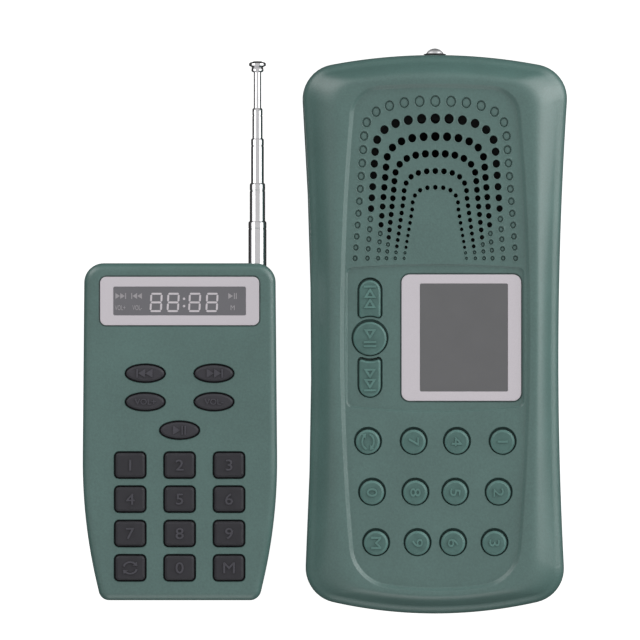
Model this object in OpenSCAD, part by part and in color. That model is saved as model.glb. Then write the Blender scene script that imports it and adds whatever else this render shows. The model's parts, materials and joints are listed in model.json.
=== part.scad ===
// Electronic game caller with its hand-held remote, lying on their backs.
// Origin: centre of the caller's rear face. +Y runs to the speaker end, +Z out of the key side.
// Millimetres.

/* [Caller case] */
// Length of the caller, end to end
caller_length = 200; // [198:1:206]
// Half of the caller's width at its waist
caller_waist = 44.3; // [44:0.1:46]
// Thickness of the caller, rear face to rim
caller_thick = 45; // [45:0.5:48]
// Height of the joint between the caller's two shells
caller_split = 20; // [18:0.5:21]
// Wall of the caller's shells
caller_wall = 2.4; // [2.2:0.1:2.6]
// Depth of the front panel below the rim
panel_depth = 1.4; // [1:0.1:1.6]
// Extra depth of the display pocket
pocket_depth = 0.8; // [0.4:0.1:0.9]

/* [Caller keys] */
// Diameter of a round key
round_key_d = 8.7; // [8:0.1:9]
// Diameter of the play key
play_key_d = 11.9; // [11.6:0.1:12.1]
// Width of the two track keys
track_key_w = 7.6; // [7.2:0.1:7.8]
// Gap between a key and its hole
key_gap = 0.6; // [0.5:0.05:0.65]
// Height of a key above the face around it
key_proud = 1; // [0.8:0.1:1.4]
// Travel of a key
key_travel = 0.8; // [0.5:0.1:0.8]

/* [Speaker] */
// Outer diameter of the speaker
speaker_d = 57; // [50:1:57]
// Distance of the speaker's centre from the origin
speaker_y = 55.5; // [55:0.5:56]

/* [Remote case] */
// Length of the remote's case
remote_length = 121; // [120:1:124]
// Half of the remote's width beside its display
remote_half = 34.3; // [34:0.1:35]
// Thickness of the remote
remote_thick = 24; // [24:0.5:27]
// Wall of the remote's shells
remote_wall = 2; // [1.8:0.1:2.2]
// Distance between the two centre lines
remote_offset = 91.4; // [88:0.2:110]

/* [Antenna] */
// Outer diameter of the widest antenna tube
antenna_d = 6.5; // [6.4:0.1:6.8]
// Step in diameter from one antenna tube to the next
antenna_step = 0.95; // [0.9:0.05:1.1]
// Length of the widest antenna tube
antenna_tube = 60; // [50:1:62]

/* [Hidden] */
$fn = 48;

GREEN = [0.33, 0.45, 0.42];
KEY_GREEN = [0.32, 0.44, 0.41];
KEY_BLACK = [0.2, 0.2, 0.22];
SILVER = [0.75, 0.73, 0.75];
CHROME = [0.85, 0.85, 0.87];
DARK = [0.1, 0.1, 0.11];
BOARD = [0.1, 0.35, 0.2];

eps = 0.05;      // overshoot of a cut past the face it opens

// ---- heights in the caller ----
z_panel = caller_thick - panel_depth;
z_pocket = z_panel - pocket_depth;
z_ceiling = z_panel - caller_wall;
board_drop = 5.4;        // from the ceiling under the panel to the circuit board
z_board_top = z_ceiling - board_drop;
board_t = 1.6;
mat_t = 1.2;
flange_t = 1.2;          // flange that keeps a key in its hole
flange_gap = 0.1;
flange_w = 2;            // how much wider than its key it is
key_sag = 0.3;           // how far the caller's keys hang toward the foot in their holes
foot_r = 2.5;            // foot of a key, over its contact
foot_gap = 0.1;
foot_z = z_board_top + mat_t + key_travel + foot_gap;

// ---- plan of the caller: four arcs joined by corner arcs ----
// [side half width, height of the waist, side radius, +1 bulging or -1 waisted,
//  top, top radius, top corner radius, bottom, bottom radius, bottom corner radius]
case_plan = [caller_waist, -9, 1400, -1,
             caller_length / 2, 200, 12.5, -caller_length / 2, 165, 12.5];
panel_plan = [33.2, 0, 900, 1, 88.6, 280, 10, -91, 120, 15];
pocket_plan = [31.6, -1, 2000, 1, 24.8, 400, 2, -27.6, 260, 2];

// ---- caller's case screws ----
screw_x = 38;
screw_y = 76;
screw_r = 1.45;
screw_l = 26;
screw_head_r = 2.8;
screw_head_h = 2;
screw_seat = 6;          // height of the recess's end, where the head bears
boss_r = 3.6;
boss_l = 16.5;
pillar_r = 4.6;

// ---- speaker grille: arches of holes that grow smaller down each leg ----
grille_base = 27.1;      // height of the lowest row
arch_bend = 2.7;         // exponent of the arch's shoulder
// [shoulder half width, shoulder height, top height, foot half width,
//  holes down one side, how many of them are open, top diameter, foot diameter]
arches = [
    [25.4, 43.1, 56.0, 28.6, 16, 0, 3.9, 1.9],
    [21.5, 37.0, 49.8, 24.2, 16, 12, 3.5, 1.7],
    [17.6, 32.0, 43.4, 20.4, 16, 13, 3.1, 1.5],
    [14.6, 26.5, 37.3, 17.4, 16, 14, 2.7, 1.35],
    [11.2, 22.0, 31.1, 14.3, 15, 14, 2.1, 1.2],
    [8.2, 17.6, 25.3, 11.1, 13, 12, 1.65, 1.0]];
pitch_fade = 0.2;        // how much closer the holes stand at the foot
dimple_depth = 1;

// ---- caller's keys ----
track_x = -23.3;
play_y = -1.2;
track_top = 20.8;          // far end of a track key from the play key's centre
track_foot = 8.1;        // near end
track_dip = 0.6;         // hollow of the near end, along the play key
key_rows = [-38, -56.1, -74.1];
outer_column = [24, 22.55, 21.1];
inner_column = [7.7, 7.1, 6.35];
key_grid = [["key_repeat", "key_7", "key_4", "key_1"],
            ["key_0", "key_8", "key_5", "key_2"],
            ["key_menu", "key_9", "key_6", "key_3"]];

// ---- caller's display ----
lens_x = 9.3;
lens_y = -1.2;
lens_w = 42.7;
lens_l = 45.1;
lens_r = 2.9;
lens_t = 1.2;
lens_ledge = 2.4;
lens_proud = 0.4;
lens_gap = 0.35;         // round a display lens in its recess
module_w = 36;
module_l = 40;
module_t = 3;            // frame of the display module
glass_edge = 1.2;        // rim of that frame round the glass
glass_gap = 0.2;         // between the glass and the ceiling

// ---- caller's circuit board ----
board_w = 63;
board_foot = -86;
board_head = 24;
board_posts = [[-29.5, 21.4], [29.5, 21.4], [-26.5, -83], [26.5, -83]];
post_r = 2.2;
// [x, y, width, length, height] of the amplifier, radio, memory and power parts on its rear side
board_parts = [[-22, 8, 12, 12, 2.4], [2, 6, 16, 10, 2], [-20, -20, 14, 14, 2], [8, -18, 18, 12, 3]];
capacitors = [[22, 16], [27, 16]];
capacitor_r = 2.2;
capacitor_h = 8;
// [x, y, width, length] of the keypad mat under the grid keys and under the track keys
mat_sheets = [[-30.5, -80.5, 61, 50], [-30.5, -31, 16.5, 50]];

// ---- speaker, in depths below the ceiling ----
speaker_r = speaker_d / 2;
basket_r = 16;
basket_depth = 14;
basket_wall = 1.8;
rim_w = 2.6;             // raised edge round the cone's surround
rim_t = 2.2;
ledge_w = 5.6;           // reaches in from the outside, under the surround
ledge_depth = 1.4;
magnet_r = 15.5;
magnet_h = 7;
magnet_bore = 10;
cone_t = 0.8;
surround_w = 3.4;        // rolled rubber between the cone and the ledge
surround_t = 0.4;
seat_h = 5;              // ring under the panel that the speaker sits in
seat_gap = 0.3;
seat_wall = 1.9;

// ---- power button ----
switch_z = caller_split + 8;
sleeve_r = 3.65;
sleeve_gap = 0.15;
collar_r = 4.1;
collar_h = 0.35;
switch_box = [11, 9, 9.3];
stem_r = 1.85;
stem_l = 8;
dome_r = 3.15;
dome_h = 1.9;
dome_base = 0.4;
dome_sphere = (dome_r * dome_r + dome_h * dome_h) / (2 * dome_h);
dome_well = 0.65;         // depth that the dome sinks into the sleeve

// ---- caller's battery ----
cell_d = 18.4;
cell_l = 64.2;
cell_tip = 1;            // raised contact
cell_tip_r = 3;
cell_x = 10.2;
cell_z = 12.4;
contact_t = 0.45;
contact_w = 14;
spring_l = 2.25;
cell_gap = 0.1;
bay_half = 20.2;
bay_head = -24;
cell_head = bay_head - contact_t - spring_l - cell_gap;
bay_foot = cell_head - cell_l - spring_l - contact_t - cell_gap;
bay_top = 22.4;
bay_wall = 1.6;
door_half = 24;
door_head = -21.5;
door_gap = 0.25;
tongue_w = 1.2;
tongue_t = 0.8;
tongue_z = 0.8;

// ---- remote ----
remote_top = 25.5;
remote_split = remote_thick / 2;
rz_ceiling = remote_thick - remote_wall;
rboard_drop = 4.4;
rz_board_top = rz_ceiling - rboard_drop;
// [corner, corner radius] down the right side
remote_corners = [[[remote_half, remote_top], 7],
                  [[remote_half + 0.8, -66.6], 190],
                  [[remote_half - 5.9, remote_top - remote_length], 4]];
// [x, y, radius and length of the boss under the front] of each case screw
remote_screws = [[-29, 20, 2.8, 10.2], [20, 21.2, 2.8, 10.2],
                 [24.9, -89.3, 3.1, 7.5], [-24.9, -89.3, 3.1, 7.5]];
rscrew_r = 1;
rscrew_l = 15;
rscrew_head_r = 1.9;
rscrew_head_h = 1.6;
rscrew_seat = 4;
rpillar_r = 2.8;
rlens_y = 11.9;
rlens_w = 57;
rlens_l = 17.4;
rlens_r = 2.2;
rlens_t = 0.9;
rlens_ledge = 2.2;
rlens_proud = 0.3;
rmodule_w = 50;
rmodule_l = 12.8;
rmodule_t = 2.6;
rglass_edge = 0.8;
oval_a = 6.75;
oval_b = 2.85;
oval_x = 12.3;
oval_rows = [-14, -24.2, -34.4];
square_w = 10.4;
square_l = 8.6;
square_r = 1.2;
square_pitch = 17.7;
square_rows = [-46.9, -59.1, -71.4, -83.7];
remote_grid = [["remote_key_1", "remote_key_2", "remote_key_3"],
               ["remote_key_4", "remote_key_5", "remote_key_6"],
               ["remote_key_7", "remote_key_8", "remote_key_9"],
               ["remote_key_repeat", "remote_key_0", "remote_key_menu"]];
remote_flange = 0.6;
rkey_proud = key_proud + 0.2;
dome_contact_r = 2.4;    // metal domes on the board, under the keys
dome_contact_h = 0.35;
rfoot_r = 2.2;
rfoot_z = rz_board_top + dome_contact_h + key_travel + 0.15;
rcell_d = 10.5;
rcell_l = 43.5;
rcell_tip = 0.9;
rcell_tip_r = 1.9;
rcell_x = 5.6;
rcell_z = 7.9;
rcell_gap = 0.3;
rbay_half = 11.4;
rbay_head = -45.4;
rcell_head = rbay_head - rcell_tip - rcell_gap;
rbay_foot = rcell_head - rcell_l - rcell_tip - rcell_gap;
rbay_top = 13.4;
rbay_wall = 1;
rdoor_half = 14;
rdoor_head = -43.5;

// ---- antenna ----
antenna_x = 27.8;
antenna_z = 7.8;
antenna_wall = 0.4;
bush_wall = 0.7;
bush_l = 9;
bush_gap = 0.07;
bush_foot = remote_top - remote_wall - 0.1 - bush_l;
antenna_shrink = 1.5;    // how much shorter each tube is than the one around it
// how far each section stands out of the one before it
antenna_out = [15.1, 13.7, 16.1, 10.9, 12.9];
cap_h = 4;

// ================= outlines =================
function turn(a) = [cos(a), sin(a)];
function heading(v) = atan2(v[1], v[0]);
function arc(c, r, a, b, n) = [for (i = [0:n - 1]) c + r * turn(a + (b - a) * i / n)];
function mirrored(half) = concat(half, [for (i = [len(half) - 1:-1:0]) [-half[i][0], half[i][1]]]);

// where two circles cross, on the side given by s
function crossing(a, ra, b, rb, s) =
    let (d = b - a, l = norm(d), t = (ra * ra - rb * rb + l * l) / (2 * l),
         h = sqrt(ra * ra - t * t), u = d / l)
    a + t * u + s * h * [-u[1], u[0]];

// a closed outline from a plan, moved inward by inset
function arched_outline(p, inset = 0, n = 6) =
    let (side_c = [p[0] - p[3] * p[2], p[1]],
         top_c = [0, p[4] - p[5]], bottom_c = [0, p[7] + p[8]],
         f1 = crossing(top_c, p[5] - p[6], side_c, p[2] - p[3] * p[6], -p[3]),
         f2 = crossing(bottom_c, p[8] - p[9], side_c, p[2] - p[3] * p[9], p[3]),
         top_a = heading(f1 - top_c), bottom_a = heading(f2 - bottom_c),
         s1 = heading(p[3] * (f1 - side_c)), s2 = heading(p[3] * (f2 - side_c)))
    mirrored(concat(
        arc(top_c, p[5] - inset, 89.8, top_a, n),
        arc(f1, p[6] - inset, top_a, s1, n),
        arc(side_c, p[3] * (p[2] - p[3] * inset), s1, s2, n - 1),
        arc(f2, p[9] - inset, s2, bottom_a, n),
        arc(bottom_c, p[8] - inset, bottom_a, -89.8, n),
        [bottom_c + (p[8] - inset) * turn(-89.8)]));

// a closed outline with rounded corners, from the corners of its right half
function edge_normal(a, b) = let (d = (b - a) / norm(b - a)) [-d[1], d[0]];
function rounded_outline(corners, inset = 0, n = 6) =
    let (m = len(corners),
         left = [for (i = [m - 1:-1:0]) [[-corners[i][0][0], corners[i][0][1]], corners[i][1]]],
         all = concat(corners, left), k = len(all))
    [for (i = [0:k - 1])
        let (v = all[i][0], r = all[i][1],
             n1 = -edge_normal(v, all[(i + k - 1) % k][0]), n2 = -edge_normal(all[(i + 1) % k][0], v),
             mid = (n1 + n2) / norm(n1 + n2), c = v - mid * r / (mid * n1),
             a1 = heading(n1), a2 = a1 + heading([n1 * n2, n1[0] * n2[1] - n1[1] * n2[0]]))
        for (j = [0:n]) c + (r - inset) * turn(a1 + (a2 - a1) * j / n)];

function remote_outline(inset = 0) = rounded_outline(remote_corners, inset);
function box_outline(w, l, r) =
    rounded_outline([[[w / 2, l / 2], r], [[w / 2, -l / 2], r]]);
function oval_outline(a, b) = [for (t = [0:7.5:352.5]) [a * cos(t), b * sin(t)]];

// a track key's outline: a round far end, and a near end hollowed along the play key
function track_outline(grow = 0, near = 0) =
    let (h = track_key_w / 2 + grow, top = track_top - h + grow, foot = track_foot - near)
    concat([for (t = [0:10:180]) [h * cos(t), top + h * sin(t)]],
           [for (i = [-4:4]) [h * i / 4, foot - track_dip * (i / 4) * (i / 4)]]);

// a solid through outlines of equal length, each at its own height
module loft(rings) {
    n = len(rings[0][0]);
    m = len(rings);
    polyhedron(
        points = [for (r = rings) for (p = r[0]) [p[0], p[1], r[1]]],
        faces = concat(
            [[for (i = [n - 1:-1:0]) i]],
            [[for (i = [0:n - 1]) (m - 1) * n + i]],
            [for (k = [0:m - 2]) for (i = [0:n - 1])
                let (j = (i + 1) % n) each [
                    [k * n + i, k * n + j, (k + 1) * n + j],
                    [k * n + i, (k + 1) * n + j, (k + 1) * n + i]]]));
}

module slab(points, z1, z2) {
    translate([0, 0, z1]) linear_extrude(z2 - z1) polygon(points);
}

// ================= caller =================
module caller_front_skin() {
    loft([for (s = [[0, caller_split], [0.3, caller_thick - 11.2], [2.4, caller_thick - 7.3],
                    [8.2, caller_thick - 2.1], [12, caller_thick]])
          [arched_outline(case_plan, s[0]), s[1]]]);
}

module caller_front_hollow() {
    loft([for (s = [[caller_wall, caller_split - 1], [caller_wall, caller_thick - 12], [10, z_ceiling]])
          [arched_outline(case_plan, s[0]), s[1]]]);
}

module caller_rear_skin() {
    loft([for (s = [[3.6, 0], [2.2, 0.3], [1.1, 1.1], [0.35, 2.5], [0, 5], [0, caller_split]])
          [arched_outline(case_plan, s[0]), s[1]]]);
}

module at_screws() {
    for (x = [-1, 1], y = [-1, 1])
        translate([x * screw_x, y * screw_y, 0])
            children();
}

// a point of the arch a, s along it from the top
function arch_curve(a) = concat(
    [for (t = [90:-3:0])
        [a[0] * pow(cos(t), 2 / arch_bend), a[1] + (a[2] - a[1]) * pow(sin(t), 2 / arch_bend)]],
    [[a[3], 0]]);
function running_length(c, i = 1, sum = 0, out = [0]) =
    i == len(c) ? out
    : let (s = sum + norm(c[i] - c[i - 1])) running_length(c, i + 1, s, concat(out, [s]));

// [x, y, diameter, open] for every hole of the grille
function grille_holes() = [
    for (a = arches)
        let (c = arch_curve(a), run = running_length(c), total = run[len(run) - 1],
             xs = [for (i = [0:len(c) - 1]) [run[i], c[i][0]]],
             ys = [for (i = [0:len(c) - 1]) [run[i], c[i][1]]])
        for (i = [0:a[4]])
            let (t = i / a[4], s = total * ((1 + pitch_fade) * t - pitch_fade * t * t))
            for (side = i == 0 ? [1] : [-1, 1])
                [side * lookup(s, xs), grille_base + lookup(s, ys), a[6] + (a[7] - a[6]) * t, i < a[5]]];

module grille_cuts() {
    for (h = grille_holes())
        translate([h[0], h[1], h[3] ? z_ceiling - 1 : z_panel - dimple_depth])
            cylinder(d = h[2], h = h[3] ? caller_wall + 2 : 1, $fn = 24);
}

module lens_recess(w, l, r, t, ledge, z_face, z_inner) {
    slab(box_outline(w + 2 * lens_gap, l + 2 * lens_gap, r + lens_gap), z_face - t, z_face + 3);
    slab(box_outline(w - 2 * ledge, l - 2 * ledge, r / 2), z_inner - 1, z_face);
}

function grid_x(row, column) =
    [-outer_column[row], -inner_column[row], inner_column[row], outer_column[row]][column];

module at_track(up) {
    translate([track_x, play_y, 0]) mirror([0, up ? 0 : 1, 0]) children();
}

module key_holes() {
    for (r = [0:2], c = [0:3])
        translate([grid_x(r, c), key_rows[r], z_ceiling - 1])
            cylinder(d = round_key_d + 2 * key_gap, h = caller_wall + 3);
    translate([track_x, play_y, z_ceiling - 1])
        cylinder(d = play_key_d + 2 * key_gap, h = caller_wall + 3);
    for (up = [true, false])
        at_track(up) slab(track_outline(key_gap, key_gap), z_ceiling - 1, z_panel + 2);
}

module front_shell() {
    color(GREEN) difference() {
        union() {
            difference() {
                caller_front_skin();
                caller_front_hollow();
            }
            at_screws() translate([0, 0, caller_split]) cylinder(r = boss_r, h = boss_l);
            // posts that hold the circuit board
            for (p = board_posts)
                translate([p[0], p[1], z_board_top]) cylinder(r = post_r, h = board_drop + 0.6);
            // seat round the speaker
            translate([0, speaker_y, z_ceiling - seat_h]) difference() {
                cylinder(r = speaker_r + seat_gap + seat_wall, h = seat_h + 0.5);
                translate([0, 0, -1]) cylinder(r = speaker_r + seat_gap, h = seat_h + 1);
            }
        }
        slab(arched_outline(panel_plan), z_panel, caller_thick + 1);
        slab(arched_outline(pocket_plan), z_pocket, z_panel + 1);
        grille_cuts();
        key_holes();
        translate([lens_x, lens_y, 0])
            lens_recess(lens_w, lens_l, lens_r, lens_t - lens_proud, lens_ledge, z_pocket, z_ceiling);
        // pilot holes for the case screws
        at_screws() translate([0, 0, caller_split - 1]) cylinder(r = screw_r + eps, h = boss_l - 1.5);
        // hole for the power switch
        at_switch() translate([0, 0, -5]) cylinder(r = sleeve_r + sleeve_gap, h = 6);
    }
}

// the door's space: a plate with a tongue along each side, open at the foot
module door_space(half, head, foot, t, gap) {
    translate([-half - gap, foot - 2, -1]) cube([2 * (half + gap), head + gap - foot + 2, t + gap + 1]);
    translate([-half - tongue_w - gap, foot - 2, tongue_z - gap])
        cube([2 * (half + tongue_w + gap), head + gap - foot + 2, tongue_t + 2 * gap]);
}

module bay_box(half, foot, head, z1, z2) {
    translate([-half, foot, z1]) cube([2 * half, head - foot, z2 - z1]);
}

module rear_shell() {
    color(GREEN) difference() {
        union() {
            difference() {
                caller_rear_skin();
                slab(arched_outline(case_plan, caller_wall), caller_wall, caller_split + 1);
            }
            at_screws() cylinder(r = pillar_r, h = caller_split);
            bay_box(bay_half + bay_wall, bay_foot - bay_wall, bay_head + bay_wall, eps, bay_top + bay_wall);
        }
        bay_box(bay_half, bay_foot, bay_head, -1, bay_top);
        door_space(door_half, door_head, -caller_length / 2, caller_wall, door_gap);
        at_screws() {
            translate([0, 0, -1]) cylinder(r = screw_head_r + 0.4, h = screw_seat + 1);
            cylinder(r = screw_r + 0.25, h = caller_split + 1);
        }
    }
}

module battery_door() {
    color(GREEN) intersection() {
        caller_rear_skin();
        door_space(door_half, door_head, -caller_length / 2, caller_wall, 0);
    }
}

module display_lens() {
    color(SILVER) translate([lens_x, lens_y, z_pocket])
        slab(box_outline(lens_w, lens_l, lens_r), lens_proud - lens_t + eps, lens_proud + eps);
}

// a frame with its glass standing on it, h high in all
module display_stack(w, l, t, edge, h) {
    translate([-w / 2, -l / 2, 0]) {
        cube([w, l, t]);
        translate([edge, edge, t - eps]) cube([w - 2 * edge, l - 2 * edge, h - t + eps]);
    }
}

module display_module() {
    color(DARK) translate([lens_x, lens_y, z_board_top])
        display_stack(module_w, module_l, module_t, glass_edge, board_drop - glass_gap);
}

// speaker profiles are drawn with their heights measured up from the ceiling
module at_speaker() {
    translate([0, speaker_y, z_ceiling]) children();
}

module speaker_frame() {
    r = speaker_r;
    floor_z = basket_wall - basket_depth;
    color("dimgray") at_speaker() {
        rotate_extrude() polygon([
            [magnet_bore + 2, -basket_depth], [basket_r, -basket_depth],
            [r - ledge_w + 1, -rim_t], [r, -rim_t], [r, -foot_gap], [r - rim_w, -foot_gap],
            [r - rim_w, -ledge_depth], [r - ledge_w, -ledge_depth],
            [basket_r, floor_z], [magnet_bore + 2, floor_z]]);
        // magnet
        translate([0, 0, -basket_depth - magnet_h]) difference() {
            cylinder(r = magnet_r, h = magnet_h + eps);
            translate([0, 0, magnet_h - 1]) cylinder(r = magnet_bore, h = 3);
        }
    }
}

module speaker_cone() {
    edge = speaker_r - rim_w - 0.2;
    ledge_z = 0.1 - ledge_depth;
    roll = speaker_r - ledge_w - 0.3;
    inner = roll - surround_w;
    throat = 9;
    color(DARK) at_speaker() rotate_extrude() polygon([
        [0, -8], [6, -8.8], [throat, -10.4],
        [inner, -2.6], [inner + surround_w / 2, ledge_z + 0.9], [roll, ledge_z + surround_t],
        [edge, ledge_z + surround_t], [edge, ledge_z], [roll, ledge_z],
        [inner + surround_w / 2, ledge_z + 0.9 - surround_t], [inner + 0.3, -2.6 - cone_t],
        [throat, -10.4 - 1.5 * cone_t], [0, -10.4 - 1.5 * cone_t]]);
}

module circuit_board() {
    color(BOARD) {
        translate([-board_w / 2, board_foot, z_board_top - board_t])
            cube([board_w, board_head - board_foot, board_t]);
        for (c = board_parts)
            translate([c[0], c[1], z_board_top - board_t - c[4]]) cube([c[2], c[3], c[4] + eps]);
        for (c = capacitors)
            translate([c[0], c[1], z_board_top - board_t - capacitor_h])
                cylinder(r = capacitor_r, h = capacitor_h + eps);
    }
}

module keypad_mat() {
    color("gainsboro") for (m = mat_sheets)
        translate([m[0], m[1], z_board_top]) cube([m[2], m[3], mat_t]);
}

// a cell lying along Y, its head at the origin, its raised contact at the head or the foot
module cell(d, l, tip_r, tip, tip_at_head) {
    rotate([90, 0, 0]) {
        cylinder(d = d, h = l);
        translate([0, 0, tip_at_head ? -tip : l - eps]) cylinder(r = tip_r, h = tip + eps);
    }
}

module battery_cells() {
    color("royalblue") for (s = [-1, 1])
        translate([s * cell_x, cell_head, cell_z]) cell(cell_d, cell_l, cell_tip_r, cell_tip, s > 0);
}

// a plate on the bay's end wall, and a cone pressed against the cell: its spring, or a bump for its tip
module contact(reach, r1, r2) {
    translate([-contact_w / 2, eps, -contact_w / 2]) cube([contact_w, contact_t, contact_w]);
    translate([0, contact_t, 0]) rotate([-90, 0, 0]) cylinder(r1 = r1, r2 = r2, h = reach);
}

module battery_contacts() {
    color("gold") for (s = [-1, 1], head = [true, false])
        translate([s * cell_x, head ? bay_head : bay_foot, cell_z]) mirror([0, head ? 1 : 0, 0])
            if ((s > 0) == head) contact(spring_l - cell_tip, 3.4, 2.2);
            else contact(spring_l, 4.2, 2.6);
}

// a cross-head screw, its head down
module screw(r, l, head_r, head_h) {
    difference() {
        cylinder(r = head_r, h = head_h);
        for (a = [0, 90])
            rotate([0, 0, a]) translate([-0.7 * head_r, -head_r / 8, -1])
                cube([1.4 * head_r, head_r / 4, 1 + head_h / 2]);
    }
    translate([0, 0, head_h / 2]) cylinder(r = r, h = l - head_h / 2);
}

module case_screws() {
    color(CHROME) at_screws() translate([0, 0, screw_seat - screw_head_h])
        screw(screw_r, screw_l, screw_head_r, screw_head_h);
}

// pointing out of the caller's top end
module at_switch() {
    translate([0, caller_length / 2, switch_z]) rotate([-90, 0, 0]) children();
}

module power_switch() {
    back = caller_wall + 0.3 + switch_box[2];
    color(DARK) at_switch() difference() {
        union() {
            translate([0, 0, -caller_wall - 5]) cylinder(r = sleeve_r, h = caller_wall + 5 + eps);
            cylinder(r1 = collar_r, r2 = collar_r - 0.4, h = collar_h);
            translate([-switch_box[0] / 2, -switch_box[1] / 2, -back]) cube(switch_box);
        }
        translate([0, 0, -dome_well]) cylinder(r = dome_r + 0.15, h = dome_well + collar_h + 1);
        translate([0, 0, -stem_l - 0.5]) cylinder(r = stem_r + 0.1, h = stem_l + 0.5);
    }
}

module power_button() {
    color(CHROME) at_switch() {
        translate([0, 0, dome_base + 0.2 - stem_l]) cylinder(r = stem_r, h = stem_l);
        // cap: the top of a sphere
        translate([0, 0, dome_base]) intersection() {
            cylinder(r = dome_r, h = dome_sphere);
            translate([0, 0, dome_h - dome_sphere]) sphere(r = dome_sphere);
        }
    }
}

// a round key: its cap, the flange under the ceiling, and a foot over the contact
module round_key(d, z_top) {
    z_flange = z_ceiling - flange_gap - flange_t;
    translate([0, 0, z_flange]) cylinder(d = d, h = z_top - z_flange);
    translate([0, 0, z_flange]) cylinder(d = d + flange_w, h = flange_t);
    translate([0, 0, foot_z]) cylinder(r = foot_r, h = z_flange - foot_z + eps);
}

module grid_key(r, c) {
    color(KEY_GREEN) translate([grid_x(r, c), key_rows[r] - key_sag, 0])
        round_key(round_key_d, z_panel + key_proud);
}

module key_play() {
    color(KEY_GREEN) translate([track_x, play_y - key_sag, 0]) round_key(play_key_d, z_pocket + key_proud);
}

module track_key(up) {
    z_flange = z_ceiling - flange_gap - flange_t;
    color(KEY_GREEN) translate([0, -key_sag, 0]) at_track(up) {
        slab(track_outline(), z_flange, z_pocket + key_proud);
        slab(track_outline(flange_w / 2, flange_w / 4), z_flange, z_flange + flange_t);
        translate([0, (track_top + track_foot) / 2, foot_z])
            cylinder(r = foot_r, h = z_flange - foot_z + eps);
    }
}

// ================= remote =================
module at_remote() {
    translate([-remote_offset, 0, 0]) children();
}

module remote_front_skin() {
    loft([for (s = [[0, remote_split], [0.1, remote_thick - 3.4], [0.9, remote_thick - 0.95],
                    [3, remote_thick]])
          [remote_outline(s[0]), s[1]]]);
}

module remote_rear_skin() {
    loft([for (s = [[3, 0], [1.8, 0.25], [0.9, 0.9], [0.3, 1.9], [0.1, 3.2], [0, remote_split]])
          [remote_outline(s[0]), s[1]]]);
}

module at_remote_screws() {
    for (p = remote_screws) translate([p[0], p[1], 0]) children();
}

module at_ovals() {
    for (x = [-1, 1], i = [0, 1]) translate([x * oval_x, oval_rows[i], 0]) children();
    translate([0, oval_rows[2], 0]) children();
}

module at_squares() {
    for (c = [-1, 0, 1], r = [0:3]) translate([c * square_pitch, square_rows[r], 0]) children();
}

module remote_front_shell() {
    color(GREEN) at_remote() difference() {
        union() {
            difference() {
                remote_front_skin();
                slab(remote_outline(remote_wall), remote_split - 1, rz_ceiling);
            }
            for (p = remote_screws)
                translate([p[0], p[1], remote_split]) cylinder(r = p[2], h = p[3]);
        }
        translate([0, rlens_y, 0])
            lens_recess(rlens_w, rlens_l, rlens_r, rlens_t, rlens_ledge, remote_thick, rz_ceiling);
        at_ovals() slab(oval_outline(oval_a + key_gap, oval_b + key_gap), rz_ceiling - 1, remote_thick + 1);
        at_squares()
            slab(box_outline(square_w + 2 * key_gap, square_l + 2 * key_gap, square_r + key_gap),
                 rz_ceiling - 1, remote_thick + 1);
        at_remote_screws() translate([0, 0, remote_split - 1]) cylinder(r = rscrew_r + eps, h = 7);
    }
}

module remote_rear_shell() {
    color(GREEN) at_remote() difference() {
        union() {
            difference() {
                remote_rear_skin();
                slab(remote_outline(remote_wall), remote_wall, remote_split + 1);
            }
            at_remote_screws() cylinder(r = rpillar_r, h = remote_split);
            // saddle of the antenna's bush
            translate([antenna_x - antenna_d / 2, bush_foot + 1, eps]) cube([antenna_d, bush_l - 3.2, 6]);
            bay_box(rbay_half + rbay_wall, rbay_foot - rbay_wall, rbay_head + rbay_wall,
                    eps, rbay_top + rbay_wall);
        }
        bay_box(rbay_half, rbay_foot, rbay_head, -1, rbay_top);
        door_space(rdoor_half, rdoor_head, remote_top - remote_length, remote_wall, door_gap);
        at_remote_screws() {
            translate([0, 0, -1]) cylinder(r = rscrew_head_r + 0.2, h = rscrew_seat + 1);
            cylinder(r = rscrew_r + 0.2, h = remote_split + 1);
        }
        translate([antenna_x, bush_foot - 0.6, antenna_z]) rotate([-90, 0, 0])
            cylinder(d = antenna_d + 2 * (bush_gap + bush_wall) + 0.1, h = bush_l + 0.7);
        // the antenna's way out
        translate([antenna_x, remote_top - remote_wall - 3, antenna_z]) rotate([-90, 0, 0])
            cylinder(d = antenna_d + 0.4, h = 12);
    }
}

module remote_battery_door() {
    color(GREEN) at_remote() intersection() {
        remote_rear_skin();
        door_space(rdoor_half, rdoor_head, remote_top - remote_length, remote_wall, 0);
    }
}

module remote_display_lens() {
    color(SILVER) at_remote() translate([0, rlens_y, remote_thick])
        slab(box_outline(rlens_w, rlens_l, rlens_r), eps - rlens_t, rlens_proud);
}

module remote_display_module() {
    color(DARK) at_remote() translate([0, rlens_y, rz_board_top])
        display_stack(rmodule_w, rmodule_l, rmodule_t, rglass_edge, rboard_drop - glass_gap);
}

module contact_dome() {
    translate([0, 0, rz_board_top - eps]) cylinder(r = dome_contact_r, h = dome_contact_h + eps);
}

module remote_circuit_board() {
    color(BOARD) at_remote() {
        translate([0, 0, rz_board_top - board_t]) linear_extrude(board_t) intersection() {
            translate([-30, -86]) square([54, 103]);
            polygon(remote_outline(remote_wall + 0.6));
        }
        // contact domes under the keys
        at_ovals() contact_dome();
        at_squares() contact_dome();
        // transmitter chip and crystal on the rear side
        translate([-20, -10, rz_board_top - board_t - 1.6]) cube([11, 9, 1.7]);
        translate([6, -14, rz_board_top - board_t - 3]) cube([11, 4.6, 3.1]);
    }
}

module remote_battery_cells() {
    color("tomato") at_remote() for (s = [-1, 1])
        translate([s * rcell_x, rcell_head, rcell_z])
            cell(rcell_d, rcell_l, rcell_tip_r, rcell_tip, s > 0);
}

module remote_case_screws() {
    color(CHROME) at_remote() at_remote_screws() translate([0, 0, rscrew_seat - rscrew_head_h])
        screw(rscrew_r, rscrew_l, rscrew_head_r, rscrew_head_h);
}

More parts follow.
